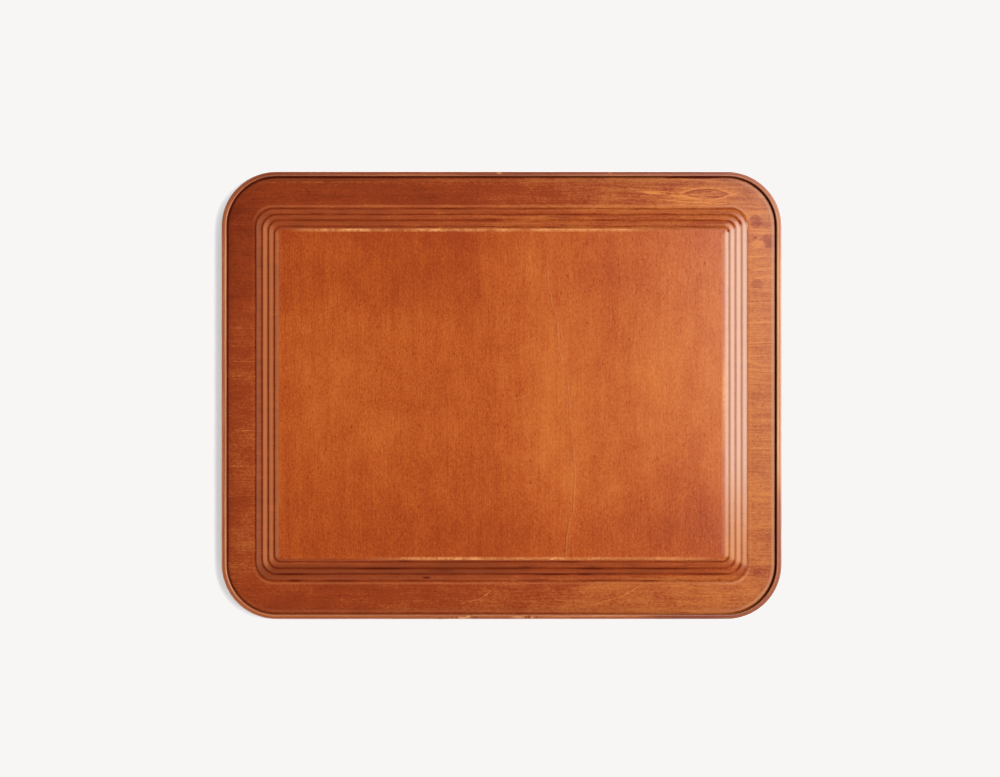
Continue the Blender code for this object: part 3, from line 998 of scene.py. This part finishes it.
# Torn and bruised spots on the rim's top: s, distance in, half sizes, by how much, and any turn
RIM_SPLINTERS = (
    (-0.0462, 0.0016, 0.0016, 0.0009, 0.75),
    (-0.0434, 0.0024, 0.0007, 0.0012, -0.8),
    (-0.0416, 0.0020, 0.0006, 0.0010, 0.6),
    (-0.0400, 0.0022, 0.0006, 0.0014, -0.9),
    (-0.0380, 0.0026, 0.0007, 0.0010, 0.6),
    (-0.0362, 0.0020, 0.0006, 0.0015, -0.9),
    (-0.0335, 0.0016, 0.0014, 0.0010, 0.5),
    (-0.0300, 0.0012, 0.0030, 0.0007, 0.8, 8.0),
    (-0.0268, 0.0024, 0.0012, 0.0009, 1.1, 20.0),
    (-0.0215, 0.0012, 0.0022, 0.0010, -0.5),
    (0.0130, 0.0018, 0.0055, 0.0008, 0.55),
    (0.0195, 0.0018, 0.0006, 0.0013, -0.6),
    (0.0220, 0.0018, 0.0007, 0.0014, -0.9),
    (0.0245, 0.0016, 0.0012, 0.0010, 0.5),
    (0.0280, 0.0016, 0.0006, 0.0010, -0.5),
)


def rim_wood(name, stain, seed):
    """A bent strip: pale along its worn top, and nearly black, from stain and painted shade, where it goes
    down to the board.
    """
    n = Nodes(name)
    along = n.attribute("grain", "Vector")
    s, inward, z = n.split(along)
    speckle = n.noise(along, (0.0030, 0.0010, 0.0010), detail=2.0, roughness=0.6, seed=seed)
    fibres = n.noise(along, (0.030, 0.0007, 0.0007), detail=2.0, roughness=0.5, seed=seed + 3.1)
    streaks = n.noise(along, (0.090, 0.0025, 0.0040), detail=3.0, roughness=0.55, seed=seed + 5.3)
    tone = n.vary(0.5, speckle, 0.6)
    tone = n.vary(tone, fibres, 0.6)
    tone = n.vary(tone, streaks, 0.9)
    half_way = perimeter() / 2.0
    splinters = (
        *RIM_SPLINTERS,
        (half_way + 0.002, 0.0012, 0.0022, 0.0009, 0.8),
        (half_way - 0.087, 0.0012, 0.0014, 0.0008, 0.6),
    )
    # Painted light makes the right end, which faces the lamp, paler; the rim is darker along the back and
    # round the front right corner
    sides = (
        (half_way / 2.0, 0.0, 0.18, 1.0, 0.40),
        (half_way, 0.0, 0.24, 1.0, -0.34),
        (0.215, 0.0, 0.095, 1.0, -0.50),
    )
    flat = n.combine(s, inward, 0.0)
    tone = n.patches(tone, flat, sides, edge=0.25)
    ragged = n.warped(flat, (0.002, 0.001, 0.001), (0.0004, 0.0002, 0.0), seed=seed + 11.0)
    splintered = n.patches(0.0, ragged, splinters)
    on_top = n.span(z, RIM_TOP - 0.0020, RIM_TOP - 0.0006)
    tone = n.times_plus(splintered, on_top, tone)
    colour = shade(n, tone, *stain)
    seam = n.math("ABSOLUTE", n.math("SUBTRACT", inward, RIM_THICKNESS / 2.0))
    colour = n.mix(n.span(seam, 0.0001, 0.0003, 0.10, 0.0), colour, CREASE_STAIN_AND_SHADE)
    # Stain and painted shade on the inner wall: near black towards the board, lighter on the front side,
    # which the lamp reaches
    near_board = n.span(inward, RIM_THICKNESS - 0.0009, RIM_THICKNESS - 0.0002)
    wall = n.times(near_board, n.span(z, RIM_TOP - 0.0026, RIM_TOP - 0.0008, 1.0, 0.0))
    front_side = ((0.0, 0.0, 0.19, 1.0, 1.0), (perimeter(), 0.0, 0.19, 1.0, 1.0))
    front = n.patches(0.0, flat, front_side, edge=0.1)
    wall = n.times(wall, n.times_plus(front, -0.45, 0.97))
    colour = n.mix(wall, colour, RIM_WALL_STAIN_AND_SHADE)
    # Darker where the rim's outer foot meets the floor
    foot = n.times(n.span(inward, 0.0006, 0.0001), n.span(z, 0.0, 0.0040, 1.0, 0.0))
    colour = n.mix(n.times(foot, 0.35), colour, CREASE_STAIN_AND_SHADE)
    gloss = n.span(inward, RIM_THICKNESS - 0.0013, RIM_THICKNESS - 0.0005, 0.16, 0.85)
    gloss = n.larger(gloss, n.span(inward, 0.0008, 0.0022, 0.60, 0.0))
    gloss = n.times(gloss, n.span(z, RIM_TOP - 0.0012, RIM_TOP - 0.0005, 0.1, 1.0))
    return finish_wood(n, colour, fibres, speckle, RIM_ROUGHNESS, gloss, RIM_RELIEF)


def plain_wood(name, across, stain, seed, roughness):
    """Birch under a thin wash of stain, as on the tray's back and the board's hidden plies."""
    n = Nodes(name)
    place = n.place()
    along = place
    if across:
        x, y, z = n.split(place)
        along = n.combine(y, x, z)
    tone, fibres, speckle = grain_tone(n, along, seed, fibre_by=0.9, streak_by=0.9, mottle_by=0.5)
    colour = shade(n, tone, *stain)
    return finish_wood(n, colour, fibres, speckle, roughness, BARE_GLOSS, BARE_RELIEF)


# ================================================================ stage

def set_view():
    """Plain colours, with everything brighter than the overexposed floor held at its level."""
    view = bpy.context.scene.view_settings
    view.view_transform = "Standard"
    view.use_curve_mapping = True
    curves = view.curve_mapping
    curves.extend = "HORIZONTAL"
    for curve, level in zip(curves.curves, PAPER_WHITE):
        curve.points.new(level, level)
        curve.points[-1].location = (1.0, level)
        for point in curve.points:
            point.handle_type = "VECTOR"
    curves.update()


def add_camera():
    camera_data = bpy.data.cameras.new("camera")
    camera_data.sensor_width = SENSOR_WIDTH
    camera_data.lens = SENSOR_WIDTH * CAMERA_HEIGHT / VIEW_WIDTH
    camera = bpy.data.objects.new("camera", camera_data)
    camera.location = (CAMERA_X, CAMERA_Y, RIM_TOP + CAMERA_HEIGHT)
    bpy.context.scene.collection.objects.link(camera)
    bpy.context.scene.camera = camera


def add_floor():
    mesh = bpy.data.meshes.new("floor")
    corners = [(FLOOR_REACH * x, FLOOR_REACH * y, 0.0) for x, y in ((-1, -1), (1, -1), (1, 1), (-1, 1))]
    mesh.from_pydata(corners, [], [(0, 1, 2, 3)])
    floor = bpy.data.objects.new("floor", mesh)
    floor.location.z = -FLOOR_DROP
    paper = Nodes("pale_floor")
    paper.feed(paper.shader.inputs["Base Color"], FLOOR_COLOUR)
    paper.feed(paper.shader.inputs["Roughness"], 0.9)
    paper.feed(paper.shader.inputs["Specular IOR Level"], 0.1)
    mesh.materials.append(paper.material)
    bpy.context.scene.collection.objects.link(floor)


def add_key_light():
    key_data = bpy.data.lights.new("key", "AREA")
    key_data.shape = "RECTANGLE"
    key_data.size, key_data.size_y = KEY_SIZE
    key_data.energy = KEY_ENERGY
    key = bpy.data.objects.new("key", key_data)
    across = math.sin(KEY_TILT)
    direction = Vector((across * math.cos(KEY_SWING), across * math.sin(KEY_SWING), math.cos(KEY_TILT)))
    key.location = direction * KEY_DISTANCE
    key.rotation_euler = direction.to_track_quat("Z", "Y").to_euler()
    bpy.context.scene.collection.objects.link(key)


def add_sky():
    """Soft light from all round, strongest low down, weak overhead where the camera looks from."""
    world = bpy.data.worlds.new("studio")
    world.use_nodes = True
    tree = world.node_tree
    background = tree.nodes["Background"]
    coordinates = tree.nodes.new("ShaderNodeTexCoord")
    axes = tree.nodes.new("ShaderNodeSeparateXYZ")
    tree.links.new(coordinates.outputs["Generated"], axes.inputs[0])
    ramp = tree.nodes.new("ShaderNodeMapRange")
    ramp.interpolation_type = "SMOOTHSTEP"
    for socket, value in zip(ramp.inputs[1:5], (*SKY_BAND, *SKY_STRENGTH)):
        socket.default_value = value
    tree.links.new(axes.outputs[2], ramp.inputs[0])
    tree.links.new(ramp.outputs[0], background.inputs["Strength"])
    background.inputs["Color"].default_value = (*SKY_COLOUR, 1.0)
    bpy.context.scene.world = world


def build_stage():
    set_view()
    add_camera()
    add_floor()
    add_key_light()
    add_sky()


# ================================================================ the tray

def build_tray():
    rim_outer_wood = rim_wood("rim_outer_wood", RIM_OUTER_STAIN, 1.0)
    rim_inner_wood = rim_wood("rim_inner_wood", RIM_INNER_STAIN, 2.0)
    back_wood = plain_wood("back_wood", True, BACK_STAIN, 31.0, BACK_ROUGHNESS)
    raw_wood = plain_wood("inner_wood", False, INNER_STAIN, 37.0, INNER_ROUGHNESS)
    moulding_wood = field_wood("moulding_wood", False)

    # The three numbers in brackets are a strip's roundings: outer top, inner top and foot
    strip = (RIM_THICKNESS - SEAM) / 2
    bent_strip("rim_outer_lamination", "rim_outer_strip",
               0.0, strip, RIM_LOW[2], RIM_TOP, (0.0009, 0.00008, 0.0004), rim_outer_wood, 1)
    bent_strip("rim_inner_lamination_upper", "rim_inner_strip_upper",
               strip + SEAM, RIM_THICKNESS, FLANGE_TOP + SEAM, RIM_TOP,
               (0.00008, 0.0005, 0.0002), rim_inner_wood, 5)
    bent_strip("rim_inner_lamination_lower", "rim_inner_strip_lower",
               strip + SEAM, RIM_THICKNESS, RIM_LOW[2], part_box("rim_inner_strip_lower")[1][2],
               (0.0003, 0.0003, 0.0003), rim_inner_wood, 9)

    flange_veneer("flange_veneer", "flange_ply", flange_wood())
    moulded_ply("moulding_veneer_lower", "moulding_ply_lower", 0, 3, moulding_wood)
    moulded_ply("moulding_veneer_upper", "moulding_ply_upper", 1, 3, moulding_wood)
    centre_ply("centre_veneer", "centre_panel", 2, 3, field_wood("centre_wood", True))

    for node, material in (("back_ply", back_wood), ("core_ply", raw_wood), ("lower_cross_ply", raw_wood)):
        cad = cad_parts[node]
        for cad_slot in cad.material_slots:
            cad_slot.material = material


build_stage()
build_tray()
